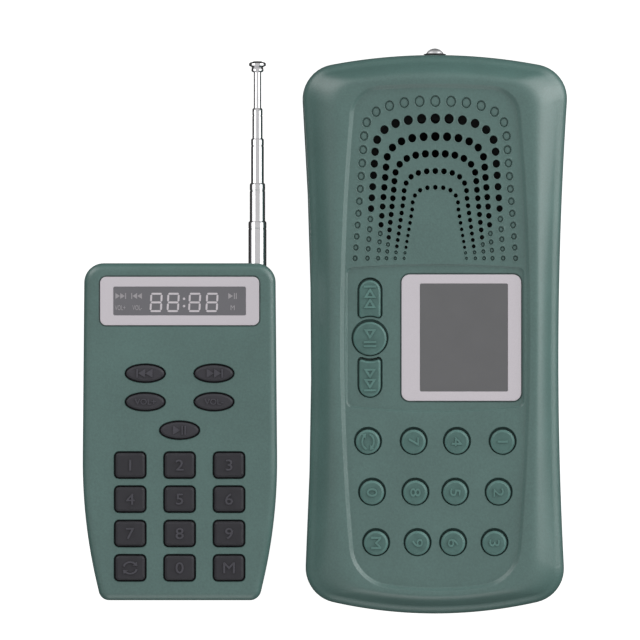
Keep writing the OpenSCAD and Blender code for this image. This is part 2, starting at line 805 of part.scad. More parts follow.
module remote_key(at, cap, flange) {
    z_flange = rz_ceiling - flange_gap - flange_t;
    color(KEY_BLACK) at_remote() translate([at[0], at[1], 0]) {
        slab(cap, z_flange, remote_thick + rkey_proud);
        slab(flange, z_flange, z_flange + flange_t);
        translate([0, 0, rfoot_z]) cylinder(r = rfoot_r, h = z_flange - rfoot_z + eps);
    }
}

module oval_key(at) {
    remote_key(at, oval_outline(oval_a, oval_b),
               oval_outline(oval_a + key_gap + remote_flange, oval_b + key_gap + remote_flange));
}

module square_key(at) {
    grow = 2 * (key_gap + remote_flange / 2);
    remote_key(at, box_outline(square_w, square_l, square_r),
               box_outline(square_w + grow, square_l + grow, square_r + grow / 2));
}

// ================= antenna =================
module at_antenna(y) {
    at_remote() translate([antenna_x, y, antenna_z]) rotate([-90, 0, 0]) children();
}

function antenna_head(k) = k < 0 ? remote_top : antenna_out[k] + antenna_head(k - 1);
function section_d(k) = antenna_d - antenna_step * k;
function section_l(k) = antenna_tube - antenna_shrink * k;

module antenna_bush() {
    color(DARK) at_antenna(bush_foot) difference() {
        cylinder(d = antenna_d + 2 * (bush_gap + bush_wall), h = bush_l);
        translate([0, 0, -1]) cylinder(d = antenna_d + 2 * bush_gap, h = bush_l + 2);
    }
}

module antenna_section(k) {
    color(CHROME) at_antenna(antenna_head(k) - section_l(k)) difference() {
        cylinder(d = section_d(k), h = section_l(k));
        translate([0, 0, -1]) cylinder(d = section_d(k) - 2 * antenna_wall, h = section_l(k) + 2);
    }
}

module antenna_rod() {
    k = 4;
    top = section_l(k);
    color(CHROME) at_antenna(antenna_head(k) - top) {
        cylinder(d = section_d(k) - 0.04, h = top + eps);
        translate([0, 0, top]) rotate_extrude() polygon([
            [0, 0], [1.7, 0], [2.2, 0.6], [2, 1.7], [3.05, 2.4], [3.05, 3.2], [2.2, cap_h], [0, cap_h]]);
    }
}

front_shell();
rear_shell();
battery_door();
display_lens();
display_module();
speaker_frame();
speaker_cone();
circuit_board();
keypad_mat();
battery_cells();
battery_contacts();
case_screws();
power_button();
power_switch();
track_key(true);  // key_previous
key_play();
track_key(false);  // key_next
for (r = [0:2], c = [0:3])
    grid_key(r, c);
remote_front_shell();
remote_rear_shell();
remote_battery_door();
remote_display_lens();
remote_display_module();
remote_circuit_board();
remote_battery_cells();
remote_case_screws();
antenna_bush();
for (k = [0:3])
    antenna_section(k);
antenna_rod();
oval_key([-oval_x, oval_rows[0]]);  // remote_key_previous
oval_key([oval_x, oval_rows[0]]);  // remote_key_next
oval_key([-oval_x, oval_rows[1]]);  // remote_key_volume_up
oval_key([oval_x, oval_rows[1]]);  // remote_key_volume_down
oval_key([0, oval_rows[2]]);  // remote_key_play
for (r = [0:3], c = [0:2])
    square_key([(c - 1) * square_pitch, square_rows[r]]);
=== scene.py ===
"""Looks of an electronic game caller and its remote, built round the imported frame."""
import json
import math

import bmesh
import bpy
from mathutils import Matrix, Vector
from mathutils.geometry import delaunay_2d_cdt

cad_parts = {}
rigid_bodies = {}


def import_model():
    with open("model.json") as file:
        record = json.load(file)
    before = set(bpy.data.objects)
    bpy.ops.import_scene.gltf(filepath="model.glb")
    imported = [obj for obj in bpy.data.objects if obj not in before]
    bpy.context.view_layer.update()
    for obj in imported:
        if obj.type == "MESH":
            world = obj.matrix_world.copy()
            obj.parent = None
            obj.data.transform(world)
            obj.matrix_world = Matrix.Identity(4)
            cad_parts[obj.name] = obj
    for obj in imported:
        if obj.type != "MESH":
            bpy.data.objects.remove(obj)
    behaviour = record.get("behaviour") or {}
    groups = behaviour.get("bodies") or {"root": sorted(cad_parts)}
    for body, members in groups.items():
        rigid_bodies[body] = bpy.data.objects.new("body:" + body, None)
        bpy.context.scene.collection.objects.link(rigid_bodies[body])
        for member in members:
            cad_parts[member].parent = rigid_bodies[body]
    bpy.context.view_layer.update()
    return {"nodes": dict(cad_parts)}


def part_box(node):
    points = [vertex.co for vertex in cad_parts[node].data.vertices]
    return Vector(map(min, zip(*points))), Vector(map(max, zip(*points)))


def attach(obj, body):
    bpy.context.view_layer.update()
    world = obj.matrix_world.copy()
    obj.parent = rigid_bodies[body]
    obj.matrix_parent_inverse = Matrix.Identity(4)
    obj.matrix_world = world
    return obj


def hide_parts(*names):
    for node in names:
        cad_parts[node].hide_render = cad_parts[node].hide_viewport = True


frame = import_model()

MM = 0.001

# ---------------- sizes, in millimetres


def node_box(node):
    """Lowest and highest corners of a CAD node in millimetres."""
    low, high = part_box(node)
    return low / MM, high / MM


def node_centre(node):
    low, high = node_box(node)
    return (low + high) / 2


def node_size(node):
    low, high = node_box(node)
    return high - low


CASE_TOP = node_box("front_shell")[1].z
CASE_SPLIT = node_box("front_shell")[0].z
CASE_HALF_LENGTH = node_box("front_shell")[1].y
CASE_WALL = 2.4
PANEL_DEPTH = 1.4
POCKET_DEPTH = 0.8
PANEL_Z = CASE_TOP - PANEL_DEPTH
POCKET_Z = PANEL_Z - POCKET_DEPTH
CEILING_Z = PANEL_Z - CASE_WALL

REMOTE_TOP = node_box("remote_front_shell")[1].z
REMOTE_SPLIT = node_box("remote_front_shell")[0].z
REMOTE_X = node_centre("remote_front_shell").x
REMOTE_HEAD = node_box("remote_front_shell")[1].y
REMOTE_FOOT = node_box("remote_front_shell")[0].y
REMOTE_WALL = 2.0
REMOTE_CEILING = REMOTE_TOP - REMOTE_WALL

# keys
KEY_GAP = 0.6
SAG = Vector((0, 0.3))     # how far the caller's keys hang toward the foot in their holes
FLANGE_GROW = 1.0          # how far a flange reaches past its cap
FLANGE_T = 1.2
FLANGE_GAP = 0.1
MARK_H = 0.35              # how far a mark stands up from its key
MARK_SLOPE = 0.3           # run of a mark's sloping side to its height
GRID_KEYS = ["key_repeat", "key_7", "key_4", "key_1", "key_0", "key_8", "key_5", "key_2",
             "key_menu", "key_9", "key_6", "key_3"]
GRID_KEY_D = node_size("key_7").x - 2 * FLANGE_GROW
PLAY_KEY_D = node_size("key_play").x - 2 * FLANGE_GROW
PLAY = node_centre("key_play").to_2d()
TRACK_W = 7.6
TRACK_TOP = 20.8           # from the play key's centre to the far end of a track key
TRACK_FOOT = 8.1           # from there to its near end
TRACK_DIP = 0.6            # depth of the hollow in its near end
TRACK_CORNER = 0.9
OVAL_A, OVAL_B = 6.75, 2.85
SQUARE_W, SQUARE_L, SQUARE_R = 10.4, 8.6, 1.2
OVAL_KEYS = {"remote_key_previous": "previous", "remote_key_next": "next", "remote_key_volume_up": "VOL+",
             "remote_key_volume_down": "VOL-", "remote_key_play": "play"}
SQUARE_KEYS = ["remote_key_%d" % k for k in range(10)] + ["remote_key_repeat", "remote_key_menu"]

# display windows: corner radius, and width of the ledge that carries the lens
LENS_GAP = 0.35
LENS_R, LEDGE = 2.9, 2.4
REMOTE_LENS_R, REMOTE_LEDGE = 2.2, 2.2
SEAT_SINK = 0.02           # how far the ledge lies under its lens

# outlines: [side half width, height of the waist, side radius, +1 bulging or -1 waisted,
#  top, top radius, top corner radius, bottom, bottom radius, bottom corner radius]
CASE_PLAN = (44.3, -9, 1400, -1, CASE_HALF_LENGTH, 200, 12.5, -CASE_HALF_LENGTH, 165, 12.5)
PANEL_PLAN = (33.2, 0, 900, 1, 88.6, 280, 10, -91, 120, 15)
POCKET_PLAN = (31.6, -1, 2000, 1, 24.8, 400, 2, -27.6, 260, 2)

# [shoulder half width, shoulder height, top height, foot half width,
#  holes down one side, how many of them are open, top diameter, foot diameter]
ARCHES = (
    (25.4, 43.1, 56.0, 28.6, 16, 0, 3.9, 1.9),
    (21.5, 37.0, 49.8, 24.2, 16, 12, 3.5, 1.7),
    (17.6, 32.0, 43.4, 20.4, 16, 13, 3.1, 1.5),
    (14.6, 26.5, 37.3, 17.4, 16, 14, 2.7, 1.35),
    (11.2, 22.0, 31.1, 14.3, 15, 14, 2.1, 1.2),
    (8.2, 17.6, 25.3, 11.1, 13, 12, 1.65, 1.0),
)
ARCH_BEND = 2.7
GRILLE_BASE = 27.1
PITCH_FADE = 0.2           # how much closer the holes get toward the foot
DIMPLE_DEPTH = 1.0
GRILLE_TALL, DIMPLE_TALL = 1.07, 1.16      # height of a hole to its width
PANEL_RUN = 0.9            # half the width of the sloping wall round the panel

# corners of the right half of the remote's outline, from its centre line, with their radii
REMOTE_HALF = 34.3
REMOTE_CORNERS = (
    ((REMOTE_HALF, REMOTE_HEAD), 7),
    ((REMOTE_HALF + 0.8, -66.6), 190),
    ((REMOTE_HALF - 5.9, REMOTE_FOOT), 4),
)

# ---------------- outlines


def turn(angle):
    return Vector((math.cos(angle), math.sin(angle)))


def heading(v):
    return math.atan2(v.y, v.x)


def arc(centre, radius, start, end, count):
    """Points along an arc, without its last one."""
    return [centre + radius * turn(start + (end - start) * i / count) for i in range(count)]


def mirrored(half):
    return half + [Vector((-p.x, p.y)) for p in reversed(half)]


def crossing(a, ra, b, rb, side):
    """Where two circles cross, on the side given by the sign of side."""
    d = b - a
    reach = (ra * ra - rb * rb + d.length_squared) / (2 * d.length)
    u = d.normalized()
    return a + reach * u + side * math.sqrt(ra * ra - reach * reach) * Vector((-u.y, u.x))


def arched_outline(plan, inset=0.0):
    """A closed outline of four arcs joined by corner arcs, moved inward by inset."""
    end_points, corner_points, side_points = 14, 10, 24
    half, waist, side_r, bulge, top, top_r, top_corner, foot, foot_r, foot_corner = plan
    side_c = Vector((half - bulge * side_r, waist))
    top_c = Vector((0, top - top_r))
    foot_c = Vector((0, foot + foot_r))
    c1 = crossing(top_c, top_r - top_corner, side_c, side_r - bulge * top_corner, -bulge)
    c2 = crossing(foot_c, foot_r - foot_corner, side_c, side_r - bulge * foot_corner, bulge)
    top_a, foot_a = heading(c1 - top_c), heading(c2 - foot_c)
    s1, s2 = heading(bulge * (c1 - side_c)), heading(bulge * (c2 - side_c))
    near_axis = math.radians(89.9)
    return mirrored(
        arc(top_c, top_r - inset, near_axis, top_a, end_points)
        + arc(c1, top_corner - inset, top_a, s1, corner_points)
        + arc(side_c, bulge * (side_r - bulge * inset), s1, s2, side_points)
        + arc(c2, foot_corner - inset, s2, foot_a, corner_points)
        + arc(foot_c, foot_r - inset, foot_a, -near_axis, end_points)
        + [foot_c + (foot_r - inset) * turn(-near_axis)]
    )


def rounded_outline(corners, inset=0.0, points=8):
    """A closed outline with rounded corners, from the corners of its right half."""
    ring = list(corners) + [((-c[0], c[1]), r) for c, r in reversed(corners)]
    count = len(ring)
    outline = []
    for i, (corner, radius) in enumerate(ring):
        v = Vector(corner)
        before, after = Vector(ring[i - 1][0]), Vector(ring[(i + 1) % count][0])
        d1, d2 = (v - before).normalized(), (after - v).normalized()
        n1, n2 = Vector((-d1.y, d1.x)), Vector((-d2.y, d2.x))
        mid = (n1 + n2).normalized()
        centre = v - mid * radius / mid.dot(n1)
        a1 = heading(n1)
        a2 = a1 + math.atan2(n1.x * n2.y - n1.y * n2.x, n1.dot(n2))
        outline += [centre + (radius - inset) * turn(a1 + (a2 - a1) * k / points) for k in range(points + 1)]
    return outline


def remote_outline(inset=0.0):
    return [p + Vector((REMOTE_X, 0)) for p in rounded_outline(REMOTE_CORNERS, inset, 14)]


def circle(x, y, radius, count=40):
    return [Vector((x, y)) + radius * turn(-2 * math.pi * i / count) for i in range(count)]


def box_at(x, y, w, l, r, grow=0.0, points=6):
    corners = (((w / 2, l / 2), r), ((w / 2, -l / 2), r))
    return [p + Vector((x, y)) for p in rounded_outline(corners, -grow, points)]


def oval_at(x, y, a, b, grow=0.0, count=56):
    """An oval whose offset keeps a constant gap along its outline."""
    points = []
    for i in range(count):
        t = -2 * math.pi * i / count
        normal = Vector((b * math.cos(t), a * math.sin(t))).normalized()
        points.append(Vector((x + a * math.cos(t), y + b * math.sin(t))) + grow * normal)
    return points


def track_outline(centre, up, grow=0.0):
    """A track key: a round far end, and a near end hollowed along the play key."""
    h = TRACK_W / 2 + grow
    top = TRACK_TOP - TRACK_W / 2
    foot = TRACK_FOOT - grow
    corner = TRACK_CORNER + grow
    points = [Vector((h * math.cos(t), top + h * math.sin(t))) for t in
              (math.pi * (1 - i / 24) for i in range(25))]
    low = foot - TRACK_DIP
    steps = 6
    for i in range(steps + 1):
        a = math.pi / 2 * i / steps
        points.append(Vector((h - corner + corner * math.cos(a), low + corner - corner * math.sin(a))))
    for i in range(1, 12):
        x = 1 - i / 6
        points.append(Vector(((h - corner) * x, foot - TRACK_DIP * x * x)))
    for i in range(steps + 1):
        a = math.pi / 2 * (1 - i / steps)
        points.append(Vector((-h + corner - corner * math.cos(a), low + corner - corner * math.sin(a))))
    sign = 1 if up else -1
    points = [Vector((p.x, sign * p.y)) + centre for p in points]
    return points if up else list(reversed(points))


# each key outline takes grow
FUNCTION_OUTLINES = {
    "key_previous": lambda grow: track_outline(PLAY, True, grow),
    "key_play": lambda grow: circle(PLAY.x, PLAY.y, PLAY_KEY_D / 2 + grow, 56),
    "key_next": lambda grow: track_outline(PLAY, False, grow),
}


def grid_outline(node):
    c = node_centre(node)
    return lambda grow: circle(c.x, c.y, GRID_KEY_D / 2 + grow)


def oval_outline(node):
    c = node_centre(node)
    return lambda grow: oval_at(c.x, c.y, OVAL_A, OVAL_B, grow)


def square_outline(node):
    c = node_centre(node)
    return lambda grow: box_at(c.x, c.y, SQUARE_W, SQUARE_L, SQUARE_R, grow)


def arch_curve(arch):
    """The right half of an arch of the grille, from its top to its foot."""
    shoulder, spring, top, foot = arch[:4]
    steps, power = 60, 2 / ARCH_BEND
    curve = []
    for i in range(steps + 1):
        t = math.pi / 2 * (1 - i / steps)
        curve.append(Vector((shoulder * max(math.cos(t), 0) ** power,
                             spring + (top - spring) * math.sin(t) ** power)))
    return curve + [Vector((foot, 0))]


def along(curve, distance):
    """The point at a distance along a curve."""
    for a, b in zip(curve, curve[1:]):
        step = (b - a).length
        if distance <= step + 1e-9:
            return a + (b - a) * (distance / step)
        distance -= step
    return curve[-1]


def grille_holes():
    """(x, y, diameter, open) of every hole of the speaker grille."""
    holes = []
    for arch in ARCHES:
        curve = arch_curve(arch)
        total = sum((b - a).length for a, b in zip(curve, curve[1:]))
        count, open_count, top_d, foot_d = arch[4:]
        for i in range(count + 1):
            t = i / count
            p = along(curve, total * ((1 + PITCH_FADE) * t - PITCH_FADE * t * t))
            d = top_d + (foot_d - top_d) * t
            for side in (1,) if i == 0 else (-1, 1):
                holes.append((side * p.x, GRILLE_BASE + p.y, d, i < open_count))
    return holes


# ---------------- mesh building


def signed_area(points):
    return sum(a.x * b.y - b.x * a.y for a, b in zip(points, points[1:] + points[:1])) / 2


class Skin:
    """A mesh in millimetres built from loops of points."""

    def __init__(self):
        self.bm = bmesh.new()

    def loop(self, points, z):
        return [self.bm.verts.new((p.x, p.y, z)) for p in points]

    def ring3(self, points):
        return [self.bm.verts.new(p) for p in points]

    def bridge(self, a, b, material=0):
        n = len(a)
        for i in range(n):
            j = (i + 1) % n
            self.bm.faces.new((a[i], b[i], b[j], a[j])).material_index = material

    def stack(self, outline, steps):
        """Bridges outline(grow) rings at the (grow, z) steps; returns the first and last loop.

        A step may name the material of the strip that ends on it as its third value.
        """
        loops = [self.loop(outline(step[0]), step[1]) for step in steps]
        for a, b, step in zip(loops, loops[1:], steps[1:]):
            self.bridge(a, b, step[2] if len(step) > 2 else 0)
        return loops[0], loops[-1]

    def fill(self, outer, holes=(), material=0):
        """Fills the flat region between an outer loop and its holes."""
        loops = [outer] + list(holes)
        verts = [v for one in loops for v in one]
        flat = [v.co.to_2d() for v in verts]
        z = sum(v.co.z for v in verts) / len(verts)
        faces, start = [], 0
        for one in loops:
            order = list(range(start, start + len(one)))
            faces.append(order if signed_area([v.co for v in one]) > 0 else order[::-1])
            start += len(one)
        out, _, tris, source, _, inside = delaunay_2d_cdt(flat, [], faces, 1, 1e-5)
        made = [verts[s[0]] if s else self.bm.verts.new((p.x, p.y, z)) for p, s in zip(out, source)]
        for tri, owners in zip(tris, inside):
            if list(owners) == [0]:
                self.bm.faces.new([made[k] for k in tri]).material_index = material

    def lathe(self, profile, place, count=48, closed=False):
        """Turns (radius, height) pairs round the Z axis of the matrix place."""
        loops = []
        for radius, height in profile:
            if radius < 1e-6:
                loops.append([self.bm.verts.new(place @ Vector((0, 0, height)))])
                continue
            loops.append(self.ring3([place @ (radius * turn(2 * math.pi * i / count)).to_3d()
                                     + place.to_3x3() @ Vector((0, 0, height)) for i in range(count)]))
        pairs = list(zip(loops, loops[1:]))
        if closed:
            pairs.append((loops[-1], loops[0]))
        for a, b in pairs:
            if len(a) == 1 or len(b) == 1:
                tip, ring = (a[0], b) if len(a) == 1 else (b[0], a)
                for i in range(count):
                    self.bm.faces.new((tip, ring[i], ring[(i + 1) % count]))
            else:
                self.bridge(a, b)

    def add_mesh(self, mesh, matrix):
        """Adds another mesh, given in millimetres, moved by matrix, with its material numbers."""
        made = [self.bm.verts.new(matrix @ v.co) for v in mesh.vertices]
        for p in mesh.polygons:
            self.bm.faces.new([made[k] for k in p.vertices]).material_index = p.material_index


def finish_mesh(skin, name, *looks, **options):
    """Turns a skin into a piece; looks and options are finish_piece's."""
    bm = skin.bm
    bmesh.ops.recalc_face_normals(bm, faces=bm.faces)
    bmesh.ops.scale(bm, vec=(MM, MM, MM), verts=bm.verts)
    mesh = bpy.data.meshes.new(name)
    bm.to_mesh(mesh)
    bm.free()
    finish_piece(mesh, name, *looks, **options)


def finish_piece(mesh, name, materials, body, replaced=(), record_slot=None, angle=38, weighted=True):
    """Makes a piece of a mesh, smooth but for edges over angle degrees, that rides on its body."""
    for m in materials:
        mesh.materials.append(m)
    mesh.polygons.foreach_set("use_smooth", [True] * len(mesh.polygons))
    mesh.set_sharp_from_angle(angle=math.radians(angle))
    piece = bpy.data.objects.new(name, mesh)
    bpy.context.scene.collection.objects.link(piece)
    if weighted:
        normals = piece.modifiers.new("normals", "WEIGHTED_NORMAL")
        normals.keep_sharp = True
    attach(piece, body)
    if replaced:
        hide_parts(*replaced)
    return piece


# ---------------- materials


NOISE_LOW, NOISE_HIGH = 0.3, 0.7      # noise seldom leaves this range


class Shader:
    """A node material built step by step."""

    def __init__(self, name):
        self.material = bpy.data.materials.new(name)
        self.material.use_nodes = True
        self.tree = self.material.node_tree
        self.bsdf = self.tree.nodes["Principled BSDF"]
        self.where = self.tree.nodes.new("ShaderNodeTexCoord").outputs["Object"]

    def set(self, **values):
        self.give(self.bsdf, values)

    def give(self, node, values):
        for key, value in values.items():
            node.inputs[key.replace("_", " ")].default_value = value

    def drive(self, **sources):
        for key, source in sources.items():
            self.link(source, self.bsdf.inputs[key.replace("_", " ")])

    def link(self, a, b):
        self.tree.links.new(a, b)

    def add(self, kind, **values):
        node = self.tree.nodes.new("ShaderNode" + kind)
        self.give(node, values)
        return node

    def noise(self, size, detail=3.0, stretch=None):
        """Noise whose features are about size metres across."""
        node = self.add("TexNoise", Scale=1 / size, Detail=detail, Roughness=0.55)
        source = self.where
        if stretch:
            mapping = self.add("Mapping", Scale=stretch)
            self.link(self.where, mapping.inputs["Vector"])
            source = mapping.outputs["Vector"]
        self.link(source, node.inputs["Vector"])
        return node.outputs["Fac"]

    def grains(self, size):
        """Round grains about size metres across."""
        node = self.add("TexVoronoi", Scale=1 / size)
        self.link(self.where, node.inputs["Vector"])
        return node.outputs["Distance"]

    def spread(self, fac, low, high):
        """Maps a factor to a range of values."""
        node = self.add("MapRange", From_Min=NOISE_LOW, From_Max=NOISE_HIGH, To_Min=low, To_Max=high)
        self.link(fac, node.inputs["Value"])
        return node.outputs["Result"]

    def colours(self, fac, a, b, start=NOISE_LOW, end=NOISE_HIGH):
        """Maps a factor to a blend of two colours."""
        node = self.add("ValToRGB")
        for stop, colour, position in zip(node.color_ramp.elements, (a, b), (start, end)):
            stop.color = (*colour, 1)
            stop.position = position
        self.link(fac, node.inputs["Fac"])
        return node.outputs["Color"]

    def mingle(self, a, b, share):
        """A factor of a with a share of b in it."""
        node = self.add("Mix", Factor=share)
        self.link(a, node.inputs["A"])
        self.link(b, node.inputs["B"])
        return node.outputs["Result"]

    def bump(self, *layers):
        """Each layer is (factor, depth in metres)."""
        normal = None
        for fac, depth in layers:
            node = self.add("Bump", Distance=depth)
            self.link(fac, node.inputs["Height"])
            if normal:
                self.link(normal, node.inputs["Normal"])
            normal = node.outputs["Normal"]
        self.link(normal, self.bsdf.inputs["Normal"])
        return self


def linear(r, g, b):
    """Linear colour from a display colour in steps of 255."""
    def one(c):
        c /= 255
        return c / 12.92 if c <= 0.04045 else ((c + 0.055) / 1.055) ** 2.4
    return (one(r), one(g), one(b))


def shade(colour, k):
    return tuple(min(1.0, c * k) for c in colour)


def textured_plastic(name, colour, grain=0.00045, depth=0.00004, rough=(0.38, 0.5), sheen=0.0):
    """Moulded plastic with a spark-eroded skin and faint flow clouds."""
    s = Shader(name)
    cloud = s.noise(0.02, 4)
    fine = s.noise(grain, 2)
    tone = s.mingle(cloud, s.noise(grain * 1.6, 3), 0.6)
    s.drive(Base_Color=s.colours(tone, shade(colour, 0.88), shade(colour, 1.12), 0.35, 0.65),
            Roughness=s.spread(fine, *rough))
    s.set(Specular_IOR_Level=0.5, Coat_Weight=sheen, Coat_Roughness=0.36)
    return s.bump((fine, depth), (s.grains(grain * 2), depth * 0.7)).material


def moulded_rubber(name, colour, rough=(0.5, 0.65)):
    s = Shader(name)
    dust = s.noise(0.003, 5)
    fine = s.noise(0.00025, 2)
    s.drive(Base_Color=s.colours(dust, shade(colour, 0.9), shade(colour, 1.12)),
            Roughness=s.spread(dust, *rough))
    s.set(Specular_IOR_Level=0.35, Sheen_Weight=0.08, Sheen_Roughness=0.5)
    return s.bump((fine, 0.000015)).material


def metal(name, colour, rough=(0.08, 0.16), brushed=None, depth=0.000004):
    s = Shader(name)
    smudge = s.noise(0.006, 5)
    fine = s.noise(0.0004, 3, stretch=brushed)
    s.drive(Base_Color=s.colours(smudge, shade(colour, 0.94), colour), Roughness=s.spread(smudge, *rough))
    s.set(Metallic=1.0)
    return s.bump((fine, depth)).material


def printed_silver(name, colour):
    """Silver ink behind a clear, polished front."""
    s = Shader(name)
    flake = s.noise(0.00018, 2)
    s.drive(Base_Color=s.colours(flake, shade(colour, 0.94), shade(colour, 1.06)),
            Roughness=s.spread(flake, 0.32, 0.45))
    s.set(Metallic=0.1, Coat_Weight=0.8, Coat_Roughness=0.05)
    return s.material


def smoked_window(name, colour):
    """Tinted clear plastic over an unlit display."""
    s = Shader(name)
    mist = s.noise(0.012, 4)
    s.drive(Base_Color=s.colours(mist, shade(colour, 0.96), shade(colour, 1.04)),
            Roughness=s.spread(mist, 0.16, 0.24))
    s.set(Coat_Weight=1.0, Coat_Roughness=0.03, Specular_IOR_Level=0.5)
    return s.material


def board_laminate(name):
    """Solder mask over copper tracks."""
    s = Shader(name)
    brick = s.add("TexBrick", Scale=260, Mortar_Size=0.03)
    s.link(s.where, brick.inputs["Vector"])
    s.drive(Base_Color=s.colours(brick.outputs["Fac"], (0.012, 0.10, 0.045), (0.03, 0.2, 0.09), 0, 1),
            Roughness=s.spread(s.noise(0.002), 0.25, 0.4))
    s.set(Coat_Weight=0.5, Coat_Roughness=0.2)
    return s.bump((brick.outputs["Fac"], 0.00003)).material


def shrink_sleeve(name, colour):
    s = Shader(name)
    wrinkle = s.noise(0.002, 4, stretch=(1, 0.2, 1))
    s.drive(Base_Color=s.colours(wrinkle, shade(colour, 0.85), shade(colour, 1.1)),
            Roughness=s.spread(wrinkle, 0.22, 0.34))
    return s.bump((wrinkle, 0.00008)).material


def pulp(name, colour):
    s = Shader(name)
    fibre = s.noise(0.0006, 6)
    s.drive(Base_Color=s.colours(fibre, shade(colour, 0.7), shade(colour, 1.6)),
            Roughness=s.spread(fibre, 0.75, 0.9))
    return s.bump((fibre, 0.00006)).material


GREEN = linear(77, 107, 102)
KEY_GREEN = linear(77, 108, 103)
CHARCOAL = linear(46, 45, 50)

case_plastic = textured_plastic("case_plastic", GREEN, sheen=0.7)
key_rubber = moulded_rubber("caller_key_rubber", KEY_GREEN)
dark_rubber = moulded_rubber("remote_key_rubber", CHARCOAL)
# lighter copies of the key rubbers: a painted highlight for the light that the raised marks and the caller
# keys' rims catch
painted_highlight_green = moulded_rubber("caller_key_painted_highlight", shade(KEY_GREEN, 1.35), (0.4, 0.5))
painted_highlight_charcoal = moulded_rubber("remote_key_marks", shade(CHARCOAL, 2.2), (0.4, 0.5))
# the charcoal rubber made lighter for the oval keys: painted light standing for the light their curved tops
# catch
oval_rubber_painted_lighter = moulded_rubber("oval_key_rubber_painted_lighter", shade(CHARCOAL, 1.35))
silver_print = printed_silver("silver_print", linear(207, 201, 207))
window_tint = smoked_window("caller_window", linear(92, 92, 94))
remote_tint = smoked_window("remote_window", linear(101, 100, 105))
segment_ink = textured_plastic("segment_ink", linear(202, 196, 201), 0.0002, 0.000002, (0.4, 0.5))
faint_ink = textured_plastic("faint_segment_ink", linear(158, 154, 158), 0.0002, 0.000002, (0.4, 0.5))
chrome = metal("chrome", (0.88, 0.87, 0.89), (0.1, 0.15), depth=0.000001)
satin_chrome = metal("satin_chrome", (0.92, 0.92, 0.93), (0.4, 0.5))
zinc = metal("zinc_plate", (0.6, 0.6, 0.63), (0.25, 0.38))
nickel = metal("nickel_strip", (0.75, 0.72, 0.66), (0.2, 0.35), (1, 12, 1))
black_plastic = textured_plastic("black_plastic", linear(34, 34, 36), 0.0004, 0.00002)
# black paint on the speaker frame, made near-black so that it also paints the shade seen through the grille
# holes
speaker_black_and_hole_shade = textured_plastic("speaker_paint_and_hole_shade", (0.008, 0.008, 0.009), 0.0005, 0.00002, (0.6, 0.75))
cone_paper = pulp("cone_paper", (0.01, 0.01, 0.0105))
laminate = board_laminate("board_laminate")
silicone = moulded_rubber("mat_silicone", (0.6, 0.6, 0.57))
sleeve = shrink_sleeve("cell_sleeve", (0.05, 0.13, 0.42))

# ---------------- marks


def raised(curve, height):
    """A mesh in millimetres of a flat curve raised to height, with sloping sides."""
    curve.extrude = height / 2
    curve.bevel_depth = height * MARK_SLOPE
    curve.offset = -curve.bevel_depth * 0.6
    holder = bpy.data.objects.new("mark", curve)
    bpy.context.scene.collection.objects.link(holder)
    bpy.context.view_layer.update()
    mesh = bpy.data.meshes.new_from_object(holder.evaluated_get(bpy.context.evaluated_depsgraph_get()))
    bpy.data.objects.remove(holder)
    bpy.data.curves.remove(curve)
    return mesh


def text_curve(text, size):
    curve = bpy.data.curves.new("mark", "FONT")
    curve.body = text
    curve.size = size
    curve.align_x, curve.align_y = "CENTER", "CENTER"
    curve.resolution_u = 4
    return curve


def outline_curve(outlines):
    curve = bpy.data.curves.new("mark", "CURVE")
    curve.dimensions = "2D"
    curve.fill_mode = "BOTH"
    for points in outlines:
        spline = curve.splines.new("POLY")
        spline.points.add(len(points) - 1)
        for knot, p in zip(spline.points, points):
            knot.co = (p.x, p.y, 0, 1)
        spline.use_cyclic_u = True
    return curve


def triangle(x, w, h, way=1):
    return [Vector((x - way * w / 2, h / 2)), Vector((x + way * w / 2, 0)), Vector((x - way * w / 2, -h / 2))]


def bar(x, w, h):
    return [Vector((x - w / 2, h / 2)), Vector((x + w / 2, h / 2)),
            Vector((x + w / 2, -h / 2)), Vector((x - w / 2, -h / 2))]


def loop_arrows(radius, width):
    """Two arcs that chase each other round a ring, each with a head."""
    outlines, steps = [], 16
    for start in (math.radians(165), math.radians(-15)):
        end = start - math.radians(118)
        outer = [(radius + width / 2) * turn(start + (end - start) * i / steps) for i in range(steps + 1)]
        inner = [(radius - width / 2) * turn(end + (start - end) * i / steps) for i in range(steps + 1)]
        tip, out, way = radius * turn(end), turn(end), turn(end - math.pi / 2)
        head = [tip + out * width * 1.6, tip + way * width * 2.2, tip - out * width * 1.6]
        outlines += [outer + inner, head]
    return outlines


def marks(kind, u):
    """Outlines of a control mark about u millimetres tall."""
    w, t = u * 0.78, u * 0.15
    if kind == "previous":
        return [bar(-w - t, t, u), triangle(-w / 2 - t * 0.1, w, u, -1), triangle(w / 2 + t * 0.2, w, u, -1)]
    if kind == "next":
        return [triangle(-w / 2 - t * 0.2, w, u), triangle(w / 2 + t * 0.1, w, u), bar(w + t, t, u)]
    if kind == "play":
        return [triangle(-w * 0.45, w, u), bar(w * 0.38, t, u), bar(w * 0.38 + t * 2.2, t, u)]
    return loop_arrows(u * 0.45, t * 0.75)


def hollow(outlines):
    """Adds the inner edge of each triangle, so that only its frame stands up."""
    inner = 0.45           # size of the inner edge to the outer one
    rings = list(outlines)
    for points in outlines:
        if len(points) == 3:
            middle = sum(points, Vector((0, 0))) / 3
            rings.append([middle + (p - middle) * inner for p in points])
    return rings


